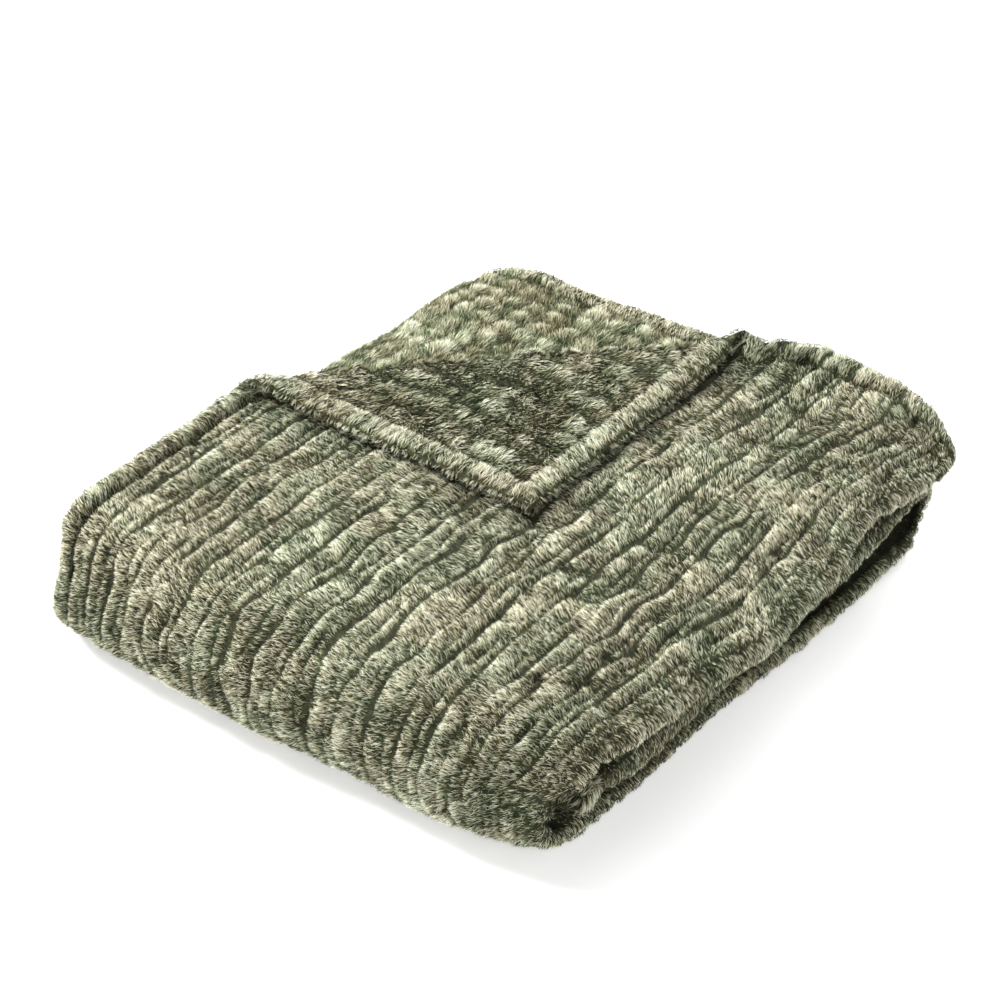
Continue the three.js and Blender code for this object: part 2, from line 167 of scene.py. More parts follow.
def settle(points):
    """Moves points of the neatly folded stack to where the soft stack lets them lie."""
    x, y, z = points[..., 0], points[..., 1], points[..., 2]
    height = z / STACK_HEIGHT
    to_lip = smooth(SIDE_X - SETTLED_SIDE, SIDE_X, x)
    to_hem_side = smooth(SIDE_X - SETTLED_SIDE, SIDE_X, -x)
    to_front = smooth(FOLDED_DEPTH / 2 - SETTLED_END, FOLDED_DEPTH / 2, -y)
    to_back = smooth(FOLDED_DEPTH / 2 - SETTLED_END, FOLDED_DEPTH / 2, y)
    low = lerp(along(LIP_Y, LIP_GROUND, y), along(LIP_Y, LIP_MIDDLE, y), smooth(0.2, 0.45, height))
    lip = lerp(low, along(LIP_Y, LIP_TOP, y), smooth(0.55, 0.8, height))
    high = smooth(0.15, 0.85, height)
    hem_side = lerp(along(HEM_SIDE_Y, HEM_SIDE_GROUND, y), along(HEM_SIDE_Y, HEM_SIDE_TOP, y), high)
    wave = sum(size * np.sin(y / length + lean * height) for length, lean, size in SIDE_WAVES)
    roll = ROLL * np.sin(x / 37 + 1.3 * height)
    front = along(END_X, END_FRONT, x) + roll
    back = along(END_X, END_BACK, x) + roll
    share_across = (x + SIDE_X) / FOLDED_WIDTH
    share_deep = (y + FOLDED_DEPTH / 2) / FOLDED_DEPTH
    front_height = lerp(CORNER_HEIGHTS["left"], CORNER_HEIGHTS["front"], share_across)
    rear_height = lerp(CORNER_HEIGHTS["rear"], CORNER_HEIGHTS["right"], share_across)
    edge_start, edge_end = SIDE_X - EDGE_START, SIDE_X + EDGE_END
    edge = smooth(edge_start, edge_end, x) + 0.5 * smooth(edge_start, edge_end, -x)
    dip = np.sin(x / 58 + 0.6) * np.sin(y / 74)
    share = lerp(front_height, rear_height, share_deep) * (1 - EDGE_DROP * edge) * (1 - DIP_DROP * dip)
    moved = np.empty_like(points)
    moved[..., 0] = x + to_lip * (lip + wave) + to_hem_side * (hem_side - wave) - CENTRE[0]
    moved[..., 1] = y + to_front * front + to_back * back - CENTRE[1]
    moved[..., 2] = (z + sag_at(x, y, z)) * share
    return moved


# The columns of the grid: the place across the ribs, the depth under the run's outer side, the turn of the
# face, the distance along the cloth from its hem edge, the ply, the rib and the place across the rib
RIB_SAMPLES = [0, 0.1, 0.22, 0.34, 0.47, 0.58, 0.65, 0.73, 0.87]
HEM_SAMPLES = [0, 0.4, 1.6, 3.6, 6.4, 9.6, 12.4, 14.6]
FACE, LIP, SECOND, FOLD, THIRD = range(5)
LIP_COLUMNS, FOLD_COLUMNS = 8, 5


def columns_across():
    found = []
    depth_a, depth_b, depth_c = PLY_PITCH * 0.5, PLY_PITCH * 1.5, PLY_PITCH * 2.5
    for s in HEM_SAMPLES:
        found.append((-SIDE_X + s, depth_a, 0, s, FACE, -1, 0))
    for k in range(RIBS):
        for q in RIB_SAMPLES:
            x = RIB_START + (k + q) * RIB_PITCH
            found.append((x, depth_a, 0, x + SIDE_X, FACE, k, q))
    s = LIP_X + SIDE_X
    found.append((LIP_X, depth_a, 0, s, FACE, RIBS, 0))
    arc = math.pi * LIP_RADIUS
    for i in range(1, LIP_COLUMNS + 1):
        turn = math.pi * i / LIP_COLUMNS
        x, depth = LIP_X + LIP_RADIUS * math.sin(turn), depth_a + LIP_RADIUS * (1 - math.cos(turn))
        found.append((x, depth, turn, s + arc * i / LIP_COLUMNS, LIP, RIBS, i / LIP_COLUMNS))
    s += arc
    for x in [*np.linspace(190, 60, 7), *np.linspace(52, INNER_FOLD_X, 50)]:
        found.append((x, depth_b, math.pi, s + LIP_X - x, SECOND, 0, 0))
    s += LIP_X - INNER_FOLD_X
    for i in range(1, FOLD_COLUMNS + 1):
        turn = math.pi * i / FOLD_COLUMNS
        x, depth = INNER_FOLD_X - LIP_RADIUS * math.sin(turn), depth_b + LIP_RADIUS * (1 - math.cos(turn))
        found.append((x, depth, math.pi - turn, s + arc * i / FOLD_COLUMNS, FOLD, 0, 0))
    s += arc
    for x in [-170, -90, 0, 90, 160, SIDE_X - INNER_EDGE_SETBACK - 6, SIDE_X - INNER_EDGE_SETBACK]:
        found.append((x, depth_c, 0, s + x - INNER_FOLD_X, THIRD, 0, 0))
    return np.array(found, float).T


TURNED, TOP, WRAP, GROUND, BACK, MIDDLE = range(6)
HEM_ROWS = [0, 0.03, 0.1, 0.22, 0.4, 0.6, 0.78, 0.91]
OPEN_ROWS = 28
BEND_ROWS = 10
RUN_ROWS = {TOP: 82, WRAP: 34, GROUND: 5, BACK: 16}
MIDDLE_ROWS = [0.3, 0.6, 0.85, 0.958, 0.985, 1.0]
# The stretch of cloth on the turned rows, at least and beside the corner, and the shares of it in hem and bend
TURNED_LEAST, TURNED_BESIDE = 8, 64
HEM_SHARE, BEND_SHARE = 0.2, 0.55
# The end of the middle run: how much further in it is than on the solid, its length, and how thick its tip stays
MIDDLE_RUN_FURTHER = 4
NOSE_LENGTH, NOSE_LEFT = 17, 0.5
# The distance from an end hem of the rows that are far from both
FAR_FROM_HEMS = 400.0


def rows_along():
    """Run, kind (0 hem, 1 open, 2 bend) and share of each row of the grid."""
    found = [(TURNED, 0, h) for h in HEM_ROWS]
    found += [(TURNED, 1, i / OPEN_ROWS) for i in range(OPEN_ROWS)]
    found += [(TURNED, 2, 1 - i / BEND_ROWS) for i in range(BEND_ROWS + 1)]
    for run, count in RUN_ROWS.items():
        found += [(run, 0, i / count) for i in range(1, count + 1)]
    found += [(MIDDLE, 0, share) for share in MIDDLE_ROWS]
    return np.array(found, float).T


col_x, col_depth, col_turn, col_s, col_ply, col_rib, col_q = columns_across()
row_run, row_kind, row_share = rows_along()
ROWS, COLS = len(row_run), len(col_x)
on_a = (col_ply == FACE) | (col_ply == LIP)


def turned_reach():
    """The stretch of cloth that the turned rows share out, on each column."""
    to_fold = np.where(on_a, TURNED_BACK - col_x - SIDE_X, -TURNED_BACK)
    beside = np.minimum(-to_fold, TURNED_BESIDE)
    return np.maximum(np.where(to_fold > 0, to_fold, beside), TURNED_LEAST)


def turn_corner(x, y):
    """The part of the top run beyond the corner's fold line turns over it and lies face down on the rest."""
    beyond = ((y - TURNED_CORNER_END) - (x + SIDE_X - TURNED_BACK)) * math.sqrt(0.5)
    beyond = np.maximum(beyond, 0)
    bend = np.minimum(beyond / TURN_RADIUS, math.pi)
    past = np.maximum(beyond - math.pi * TURN_RADIUS, 0)
    move = (TURN_RADIUS * np.sin(bend) - past - beyond) * math.sqrt(0.5)
    up = np.cos(bend)
    return x - move, y + move, TURN_RADIUS * (1 - up), -np.sin(bend), up


def fold():
    """The middle surface of the neatly folded cloth and the way its face looks, with the distance along it
    from the start of the front wrap and from the nearest end hem."""
    place = np.zeros((ROWS, COLS, 3))
    face = np.zeros((ROWS, COLS, 3))
    run_end = np.where(on_a, along(*TOP_HEM, col_x), UNDER_PLIES_END)
    reach = turned_reach()
    hem_end = np.minimum(HEM, HEM_SHARE * reach)
    bend = np.minimum(TURN_LENGTH, BEND_SHARE * reach)
    s, t = col_x + 0 * row_run[:, None], np.zeros((ROWS, COLS))
    sine, cosine = np.sin(col_turn), np.cos(col_turn)
    from_end = np.full((ROWS, COLS), FAR_FROM_HEMS)
    for j in range(ROWS):
        run, share = row_run[j], row_share[j]
        if run in (TURNED, TOP):
            if run == TOP:
                y = lerp(run_end - reach, WRAP_Y, share)
            elif row_kind[j] == 0:
                y = run_end - np.minimum(share * HEM, HEM_SHARE * share * reach)
            elif row_kind[j] == 1:
                y = run_end - lerp(hem_end, reach - bend, share)
            else:
                y = run_end - (reach - share * bend)
            t[j] = WRAP_Y - y
            from_end[j] = run_end - y
            place[j] = np.stack([col_x, y, STACK_HEIGHT - col_depth], 1)
            face[j] = np.stack([sine, 0 * sine, cosine], 1)
            if run == TURNED:
                flat = on_a & (col_turn == 0)
                x2, y2, lift, outward, up = turn_corner(col_x[flat], y[flat])
                side = -math.sqrt(0.5) * outward
                place[j, flat] = np.stack([x2, y2, (STACK_HEIGHT - col_depth[flat]) + lift], 1)
                face[j, flat] = np.stack([side, -side, up], 1)
        elif run == WRAP:
            angle = math.pi * share
            radius = STACK_HEIGHT / 2 - col_depth
            place[j] = np.stack(
                [col_x, WRAP_Y - radius * math.sin(angle), STACK_HEIGHT / 2 + radius * math.cos(angle)], 1
            )
            face[j] = np.stack([sine, -cosine * math.sin(angle), cosine * math.cos(angle)], 1)
            t[j] = angle * STACK_HEIGHT / 2
        elif run == GROUND:
            place[j] = np.stack([col_x, 0 * col_x + lerp(WRAP_Y, BACK_Y, share), col_depth], 1)
            face[j] = np.stack([sine, 0 * sine, -cosine], 1)
            t[j] = math.pi * STACK_HEIGHT / 2 + share * (BACK_Y - WRAP_Y)
        elif run == BACK:
            angle = math.pi * share
            radius = RUN_THICKNESS - col_depth
            place[j] = np.stack(
                [col_x, BACK_Y + radius * math.sin(angle), RUN_THICKNESS - radius * math.cos(angle)], 1
            )
            face[j] = np.stack([sine, cosine * math.sin(angle), -cosine * math.cos(angle)], 1)
            t[j] = math.pi * STACK_HEIGHT / 2 + BACK_Y - WRAP_Y + angle * RUN_THICKNESS
        else:
            rounding = (col_depth - RUN_THICKNESS / 2) / (RUN_THICKNESS / 2)
            end = WRAP_Y - (MIDDLE_RUN_REACH + MIDDLE_RUN_FURTHER) * (1 - rounding**2)
            near_end = np.clip(1 - (1 - share) * (BACK_Y - WRAP_Y) / NOSE_LENGTH, 0, 1)
            squeeze = lerp(1, NOSE_LEFT, near_end**2)
            depth = RUN_THICKNESS / 2 + (col_depth - RUN_THICKNESS / 2) * squeeze
            place[j] = np.stack([col_x, lerp(BACK_Y, end, share), 2 * RUN_THICKNESS - depth], 1)
            face[j] = np.stack([sine, 0 * sine, cosine], 1)
            t[j] = math.pi * (STACK_HEIGHT / 2 + RUN_THICKNESS) + (1 + share) * (BACK_Y - WRAP_Y)
            from_end[j] = (1 - share) * (BACK_Y - WRAP_Y)
    return place, face, t, from_end


# ---------------------------------------------------------------- the relief of ribs, lumps and hems

# The place across a rib of the groove between it and the small rib beside it
GROOVE = 0.65
# The spacing of the breaks in a ridge: at the back, in front on the top, and on the front fold and below
BREAKS_BACK, BREAKS_FRONT, BREAKS_BELOW = 21, 58, 40
BREAK_WIDTH = 4.4
LUMP_SPACING = 17
LIP_LINE = 3.5


def break_depth(ridge, t):
    """How deep a ridge is broken at a place along it, from 0 to 1: beads to the back, long ribs to the front."""
    table_t = np.linspace(-480, 1300, 900)
    spacing = lerp(BREAKS_BACK, BREAKS_FRONT, smooth(-330, -60, table_t))
    spacing = lerp(spacing, BREAKS_BELOW, smooth(0, 40, table_t))
    count = np.concatenate([[0], np.cumsum(np.diff(table_t) / spacing[1:])])
    at = np.interp(t, table_t, count) + 0.5 * hashed(ridge // 2, 0, 41)
    gap = np.interp(t, table_t, spacing)
    depth = 0
    for step in (-1, 0, 1):
        n = np.floor(at) + step
        centre = n + 0.5 + 0.7 * (hashed(ridge // 2, n, 42) - 0.5)
        centre = centre + 0.25 * (hashed(ridge, n, 43) - 0.5)
        strong = np.clip(1.3 * hashed(ridge, n, 44) - 0.05, 0, 1)
        depth = np.maximum(depth, strong * np.exp(-(((at - centre) * gap / BREAK_WIDTH) ** 2)))
    return depth


def beads(place, line):
    """Round lumps along a lip or a hem, from 0 between them to 1 on top."""
    at = place / LUMP_SPACING + 0.9 * noise(place / 23, line, 58)
    return np.abs(np.sin(np.pi * at)) ** 0.6 * (0.65 + 0.35 * hashed(np.floor(at), np.floor(line), 59))


def rounded(q, centre, half):
    return np.sqrt(np.clip(1 - ((q - centre) / half) ** 2, 0, 1))


def face_relief(s, t):
    """The height of the ribs, from 0 in a valley to 1 on a crest."""
    q, k = col_q[None, :], col_rib[None, :]
    main = rounded(q, GROOVE / 2, GROOVE / 2) * (0.84 + 0.4 * (noise(k * 9.1, t / 34, 51) - 0.5))
    sub = rounded(q, 0.825, 0.175) * (0.66 + 0.6 * (noise(k * 9.1 + 4, t / 27, 52) - 0.5))
    # In places a valley fills up and two ribs run together
    filled = 0.55 * smooth(0.5, 0.8, clouds(s / 19, t / 31, 53))
    main, sub = lerp(main, 0.7, filled), lerp(sub, 0.62, filled)
    # The valley between a rib and the small one beside it is not as deep
    between = (0.1 + 0.8 * noise(k * 7.7, t / 29, 56)) * np.exp(-(((q - GROOVE) / 0.1) ** 2))
    main, sub = np.maximum(main, between), np.maximum(sub, between)
    is_sub = q > GROOVE
    ridge = 2 * k + is_sub
    breaks = break_depth(ridge, t) * lerp(1.0, 0.5, smooth(-120, 20, t))
    height = np.where(is_sub, sub, main) * (1 - breaks)
    lip = np.sin(np.pi * (0.2 + 0.8 * q)) * (0.2 + 0.8 * beads(t, LIP_LINE))
    height = np.where(col_ply[None, :] == LIP, lip, height)
    height = np.maximum(height, 0.55 * np.exp(-(((s - LIP_X - SIDE_X) / 5) ** 2)))
    # Long stretches of the valleys are shallow
    shallow = 0.62 * (1 - smooth(0.36, 0.62, clouds(s / 23, t / 44, 57)))
    height = 1 - (1 - height) * (1 - shallow)
    return np.where(on_a[None, :] & (col_rib[None, :] >= 0), height, 0.5)


def back_relief(s, t):
    """The soft lumps of the back, from 0 between them to 1 on top."""
    s2 = s + 12 * (noise(s / 30, t / 19, 61) - 0.5)
    t2 = t + 16 * (noise(s / 21, t / 34, 62) - 0.5)
    a = (s2 - HEM) / RIB_PITCH
    b = t2 / 18 + 0.45 * hashed(np.floor(a), 0, 65)
    lump = np.abs(np.sin(np.pi * a)) ** 0.75 * (0.3 + 0.7 * np.abs(np.sin(np.pi * b)) ** 0.75)
    lump = lump * (0.6 + 0.4 * hashed(np.floor(a), np.floor(b), 63))
    return lump * (0.55 + 0.6 * noise(s / 33, t / 29, 64))


def hem_profile(distance):
    """The rounding of a rolled hem at a distance from its edge, from 0 to 1."""
    return rounded(distance, 0.47 * HEM, 0.5 * HEM)


place, face, flat_t, from_end = fold()
flat_s = np.broadcast_to(col_s, (ROWS, COLS)).copy()
turned_part = (row_run[:, None] == TURNED) & (col_x[None, :] + SIDE_X < TURNED_BACK) & on_a[None, :]
exposed_back = turned_part | (col_ply[None, :] == SECOND)

# The ribs wander a little from side to side, and together at the back on the right
WANDER, WANDER_REAR = 7, 13
wander = WANDER * (clouds(flat_s / 70, flat_t / 46, 71) - 0.5) + WANDER * (noise(flat_s / 17, flat_t / 24, 74) - 0.5)
wander += WANDER_REAR * smooth(-240, -430, flat_t) * smooth(230, 330, flat_s)
wander *= smooth(0, 40, flat_s) * smooth(0, 40, LIP_X + SIDE_X - flat_s) * on_a
place = place + unit(np.gradient(place, axis=1)) * wander[..., None]

# The edges of the turned corner droop onto the pile under them
DROOP = 3.4
past_fold = ((WRAP_Y - flat_t - TURNED_CORNER_END) - (col_x + SIDE_X - TURNED_BACK)) * math.sqrt(0.5)
past_fold = np.where(turned_part, past_fold, 0)
droop = DROOP * (1 - smooth(6, 38, np.minimum(from_end, flat_s))) * smooth(22, 62, past_fold)
place[..., 2] -= droop

rib_height = face_relief(flat_s, flat_t)
lump_height = back_relief(flat_s, flat_t)
in_top_hem = hem_profile(from_end) * (from_end < HEM)
in_side_hem = (hem_profile(col_s) * (col_s < HEM))[None, :] + 0 * flat_s
lip_fade = np.where(on_a, np.clip((LIP_X - 12 - col_x) / 30, 0.25, 1), 0.6)[None, :]
hem_height = np.maximum(in_top_hem * lip_fade, in_side_hem)
beside_hem = np.maximum(
    *(np.exp(-(((distance - HEM - 1.6) / 2.8) ** 2)) for distance in (from_end, flat_s))
)
in_hem = (hem_height > 0) | (from_end < HEM) | (flat_s < HEM)

# The wave of the cloth from valley to crest, its half thickness, the fullness of its hems and the lumps of its back
VALLEY, CREST, BACK_WAVE_SHARE = -4.2, 2.4, 0.25
HALF_THICKNESS, RIM_HALF_THICKNESS, BACK_SEAM_HALF_THICKNESS = 0.7, 0.35, 0.2
HEM_UP, HEM_DOWN, TURNED_HEM_DOWN = 3.9, 3.4, 1.8
SEAM_DEPTH, BACK_SEAM_DEPTH = 2.6, -1.2
BACK_LUMP, BACK_HOLLOW = 7.0, 2.6
LEAST_HEIGHT = 0.4
on_back = exposed_back & ~in_hem
wave = np.where(in_hem, 0, lerp(VALLEY, CREST, rib_height))
wave = np.where(exposed_back, BACK_WAVE_SHARE * wave, wave) * np.where(on_a, 1, 0)[None, :]
wave = wave - np.where(exposed_back, BACK_SEAM_DEPTH, SEAM_DEPTH) * beside_hem * (1 - in_hem) * on_a[None, :]
up_off = HALF_THICKNESS + HEM_UP * hem_height
down_off = HALF_THICKNESS + np.where(turned_part, TURNED_HEM_DOWN, HEM_DOWN) * hem_height
down_off = down_off + np.where(on_back, BACK_LUMP * lump_height - BACK_HOLLOW, 0)
down_off = np.where(on_back, lerp(down_off, BACK_SEAM_HALF_THICKNESS, beside_hem), down_off)
rim = np.ones((ROWS, COLS), bool)
rim[1:-1, 1:-1] = False
up_off[rim] = RIM_HALF_THICKNESS
down_off[rim] = RIM_HALF_THICKNESS
wave[rim] = 0

outer = settle(place + face * (wave + up_off)[..., None])
inner = settle(place + face * (wave - down_off)[..., None])
for skin in (outer, inner):
    skin[..., 2] = np.maximum(skin[..., 2], LEAST_HEIGHT)


def skin_frame(skin, outward):
    """Unit normals and the unit directions across and along the cloth."""
    across, along_it = np.gradient(skin, axis=1), np.gradient(skin, axis=0)
    normal = np.cross(across, along_it)
    normal *= np.sign(np.sum(normal * outward, axis=2, keepdims=True) + 1e-12)
    return unit(normal), unit(across), unit(along_it)


# ---------------------------------------------------------------- the cloth


def grid_mesh(name):
    points = np.concatenate([outer.reshape(-1, 3), inner.reshape(-1, 3)]) * MM
    index = np.arange(ROWS * COLS).reshape(ROWS, COLS)
    under = index + ROWS * COLS
    quads = [
        np.stack([index[:-1, :-1], index[1:, :-1], index[1:, 1:], index[:-1, 1:]], -1).reshape(-1, 4),
        np.stack([under[:-1, :-1], under[:-1, 1:], under[1:, 1:], under[1:, :-1]], -1).reshape(-1, 4),
    ]
    for a, b, flip in (
        (index[0], under[0], False),
        (index[-1], under[-1], True),
        (index[:, 0], under[:, 0], True),
        (index[:, -1], under[:, -1], False),
    ):
        band = np.stack([a[:-1], a[1:], b[1:], b[:-1]], -1)
        quads.append(band[:, ::-1] if flip else band)
    quads = np.concatenate(quads)
    mesh = bpy.data.meshes.new(name)
    mesh.from_pydata(points.tolist(), [], quads.tolist())
    mesh.polygons.foreach_set("use_smooth", np.ones(len(quads), bool))
    layer = mesh.uv_layers.new(name="OFBake")
    # The face in the left half of the map and the back in the right one
    up = (flat_t - flat_t.min()) / np.ptp(flat_t) * 0.98 + 0.01
    half = np.stack([flat_s / flat_s.max() * 0.49, up], -1)
    uv = np.concatenate([half.reshape(-1, 2), half.reshape(-1, 2) + [0.505, 0]])
    layer.data.foreach_set("uv", uv[quads.ravel()].ravel())
    mesh.update()
    return mesh, quads


def link(name, mesh, material):
    piece = bpy.data.objects.new(name, mesh)
    bpy.context.scene.collection.objects.link(piece)
    mesh.materials.append(material)
    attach(piece, "root")
    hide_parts("throw")
    return piece


def new_material(name):
    material = bpy.data.materials.new(name)
    material.use_nodes = True
    tree = material.node_tree
    shader = tree.nodes["Principled BSDF"]
    return material, tree, shader


def ramp(tree, stops):
    node = tree.nodes.new("ShaderNodeValToRGB")
    elements = node.color_ramp.elements
    while len(elements) < len(stops):
        elements.new(0.5)
    for element, (position, colour) in zip(elements, stops):
        element.position = position
        element.color = (*colour, 1)
    return node


UNDERCOAT = [(0.3, (0.010, 0.012, 0.004)), (0.5, (0.028, 0.031, 0.012)), (0.7, (0.06, 0.06, 0.026))]


def undercoat_material():
    material, tree, shader = new_material("undercoat")
    noise_node = tree.nodes.new("ShaderNodeTexNoise")
    noise_node.inputs["Scale"].default_value = 160
    noise_node.inputs["Detail"].default_value = 4
    coordinates = tree.nodes.new("ShaderNodeTexCoord")
    tree.links.new(coordinates.outputs["Object"], noise_node.inputs["Vector"])
    colours = ramp(tree, UNDERCOAT)
    tree.links.new(noise_node.outputs["Fac"], colours.inputs["Fac"])
    tree.links.new(colours.outputs["Color"], shader.inputs["Base Color"])
    shader.inputs["Roughness"].default_value = 0.95
    bump = tree.nodes.new("ShaderNodeBump")
    bump.inputs["Strength"].default_value = 0.5
    bump.inputs["Distance"].default_value = 0.001
    tree.links.new(noise_node.outputs["Fac"], bump.inputs["Height"])
    tree.links.new(bump.outputs["Normal"], shader.inputs["Normal"])
    return material


# Colours of the pile from its darkest to its palest, first of the green tufts and then of the brown ones. The roots
# are darker than the tips: the pale tips are the pile's own frosting, and the dark roots also paint the shade that
# falls deep in the pile
PILE_ROOTS = [
    (0.0, (0.009, 0.013, 0.006)),
    (0.25, (0.050, 0.060, 0.024)),
    (0.49, (0.26, 0.28, 0.15)),
    (0.51, (0.010, 0.010, 0.003)),
    (0.75, (0.059, 0.054, 0.023)),
    (1.0, (0.28, 0.26, 0.15)),
]
PILE_TIPS = [
    (0.0, (0.017, 0.033, 0.016)),
    (0.1, (0.064, 0.103, 0.051)),
    (0.2, (0.190, 0.235, 0.122)),
    (0.3, (0.44, 0.465, 0.27)),
    (0.4, (0.77, 0.79, 0.54)),
    (0.49, (0.99, 1.0, 0.83)),
    (0.51, (0.025, 0.024, 0.009)),
    (0.6, (0.092, 0.084, 0.036)),
    (0.7, (0.235, 0.217, 0.112)),
    (0.8, (0.47, 0.44, 0.262)),
    (0.9, (0.80, 0.765, 0.53)),
    (1.0, (1.0, 0.98, 0.81)),
]


def pile_material():
    material, tree, shader = new_material("plush pile")
    uv = tree.nodes.new("ShaderNodeUVMap")
    uv.uv_map = "OFBake"
    split = tree.nodes.new("ShaderNodeSeparateXYZ")
    tree.links.new(uv.outputs["UV"], split.inputs["Vector"])
    roots, tips = ramp(tree, PILE_ROOTS), ramp(tree, PILE_TIPS)
    tree.links.new(split.outputs["X"], roots.inputs["Fac"])
    tree.links.new(split.outputs["X"], tips.inputs["Fac"])
    # Each blade turns from its root colour to its tip colour along its length: partly the pile's own frosted tips,
    # partly painted shade at the roots
    rise = tree.nodes.new("ShaderNodeMapRange")
    rise.interpolation_type = "SMOOTHSTEP"
    rise.inputs["From Min"].default_value = 0.05
    rise.inputs["From Max"].default_value = 0.75
    tree.links.new(split.outputs["Y"], rise.inputs["Value"])
    mix = tree.nodes.new("ShaderNodeMix")
    mix.data_type = "RGBA"
    tree.links.new(rise.outputs["Result"], mix.inputs["Factor"])
    tree.links.new(roots.outputs["Color"], mix.inputs[6])
    tree.links.new(tips.outputs["Color"], mix.inputs[7])
    tree.links.new(mix.outputs[2], shader.inputs["Base Color"])
    shader.inputs["Roughness"].default_value = 0.8
    shader.inputs["Specular IOR Level"].default_value = 0.12
    return material


cloth_mesh, cloth_quads = grid_mesh("throw_cloth")
cloth = link("throw_cloth", cloth_mesh, undercoat_material())

# ---------------------------------------------------------------- the pile

PILE_PIECES = 4
BLADES_EACH = 196000
random = np.random.default_rng(20261125)
# The rays that measure how open a place is: how many, on every how many rows and columns, and their reach in metres
SKY_RAYS, SKY_STEP = 20, 3
RAY_START, RAY_LENGTH = 0.003, 0.3


def exposure(skins):
    """The open share of the sky above some points of the two skins, spread to all points."""
    points = np.concatenate([s.reshape(-1, 3) for s, _ in skins]) * MM
    tree = BVHTree.FromPolygons([tuple(p) for p in points.tolist()], cloth_quads.tolist())
    rays = random.normal(size=(SKY_RAYS, 3))
    rays /= np.linalg.norm(rays, axis=1, keepdims=True)
    rows = np.unique(np.append(np.arange(0, ROWS, SKY_STEP), ROWS - 1))
    cols = np.unique(np.append(np.arange(0, COLS, SKY_STEP), COLS - 1))
    result = []
    for skin, normal in skins:
        coarse = np.zeros((len(rows), len(cols)))
        for a, j in enumerate(rows):
            for b, i in enumerate(cols):
                n = normal[j, i]
                start = Vector(skin[j, i] * MM + n * RAY_START)
                open_rays = 0
                for ray in rays:
                    d = ray + 1.05 * n
                    if d[2] < -0.25 * np.linalg.norm(d):
                        continue
                    if tree.ray_cast(start, Vector(d), RAY_LENGTH)[0] is None:
                        open_rays += 1
                coarse[a, b] = open_rays / len(rays)
        full = np.array([np.interp(np.arange(COLS), cols, line) for line in coarse])
        full = np.array([np.interp(np.arange(ROWS), rows, line) for line in full.T]).T
        result.append(full)
    return result


outer_normal, outer_across, outer_along = skin_frame(outer, face)
plain_normal, plain_across = skin_frame(settle(place), face)[:2]
inner_normal, inner_across, inner_along = skin_frame(inner, -face)
open_outer, open_inner = exposure([(outer, outer_normal), (inner, inner_normal)])


def corners(values):
    """The four corner values of each cell, cells in one row."""
    shape = (-1,) + values.shape[2:]
    return [v.reshape(shape) for v in (values[:-1, :-1], values[:-1, 1:], values[1:, :-1], values[1:, 1:])]


def cell_weights(skin, open_share):
    a, b, c, d = corners(skin)
    halves = np.cross(b - a, c - a), np.cross(b - d, c - d)
    area = 0.5 * np.linalg.norm(halves[0], axis=1) + 0.5 * np.linalg.norm(halves[1], axis=1)
    share = sum(corners(open_share)) / 4
    return area * smooth(0.02, 0.2, share)


weights = np.concatenate([cell_weights(outer, open_outer), cell_weights(inner, open_inner)])
count = PILE_PIECES * BLADES_EACH
total = np.cumsum(weights)
cell = np.searchsorted(total, (np.arange(count) + random.random(count)) / count * total[-1])
cell = np.minimum(cell, len(weights) - 1)
across_share, along_share = random.random(count), random.random(count)


def on_cells(outer_values, inner_values):
    """Values of the two skins at the roots of the blades."""
    a, b, c, d = (np.concatenate([p, q]) for p, q in zip(corners(outer_values), corners(inner_values)))
    u, v = across_share, along_share
    if a.ndim > 1:
        u, v = u[:, None], v[:, None]
    return lerp(lerp(a[cell], b[cell], u), lerp(c[cell], d[cell], u), v)


root = on_cells(outer, inner)
normal = unit(on_cells(outer_normal, inner_normal))
across = unit(on_cells(outer_across, inner_across))
lengthwise = unit(on_cells(outer_along, inner_along))
blade_s, blade_t = on_cells(flat_s, flat_s), on_cells(flat_t, flat_t)
is_back = cell >= (ROWS - 1) * (COLS - 1)
relief = on_cells(rib_height, lump_height)
hem = on_cells(hem_height, hem_height)
beside = on_cells(beside_hem, beside_hem)
blade_end = on_cells(from_end, from_end)
in_end_hem, in_edge_hem = blade_end < HEM, blade_s < HEM
relief = np.where(in_end_hem | in_edge_hem, 0.6 + 0.3 * hem, relief * (1 - 0.95 * beside))
soft = is_back & ~in_end_hem & ~in_edge_hem
# The lips of the lower runs and the hems are lumpy along their length
TURNED_HEM_LUMP, HEM_LUMP, LIP_LUMP = 4.2, 3.2, 2.4
on_lip = np.exp(-(((blade_s - LIP_X - SIDE_X - 9) / 11) ** 2)) * (blade_t > 160) * ~is_back
in_any_hem = in_end_hem | in_edge_hem
on_corner = on_cells(turned_part * 1.0, turned_part * 1.0) > 0.5
turned_hem = on_corner & is_back & in_any_hem
runs_across = in_end_hem & ~(in_edge_hem & (blade_s < blade_end))
lumpy = np.where(in_any_hem, hem, on_lip)
lump_place = np.where(in_any_hem & runs_across, blade_s, blade_t)
lump_line = np.where(in_any_hem, 11.5 + 3 * runs_across, LIP_LINE)
lump, lump_ahead = beads(lump_place, lump_line), beads(lump_place + 1, lump_line)
lump_run = np.where((in_any_hem & runs_across)[:, None], across, lengthwise)
lump_size = np.where(turned_hem, TURNED_HEM_LUMP, np.where(in_any_hem, HEM_LUMP, LIP_LUMP))
root = root + normal * (lump_size * (lump - np.where(in_any_hem, 0.2, 0.4)) * lumpy)[:, None]
root[:, 2] = np.maximum(root[:, 2], LEAST_HEIGHT)
normal = unit(normal - lump_run * np.clip(lump_size * (lump_ahead - lump) * lumpy, -1.2, 1.2)[:, None])
# Painted shade: the lumped relief also darkens the pile's colour between the lumps, through the crest darkening of
# the hue below
lumped = relief * lerp(1, lerp(0.35, 1.1, lump), lumpy)
reach, relief = np.where(in_any_hem, relief, lumped), lumped
upright = unit(0.35 * normal + 0.65 * unit(on_cells(plain_normal, -plain_normal)))

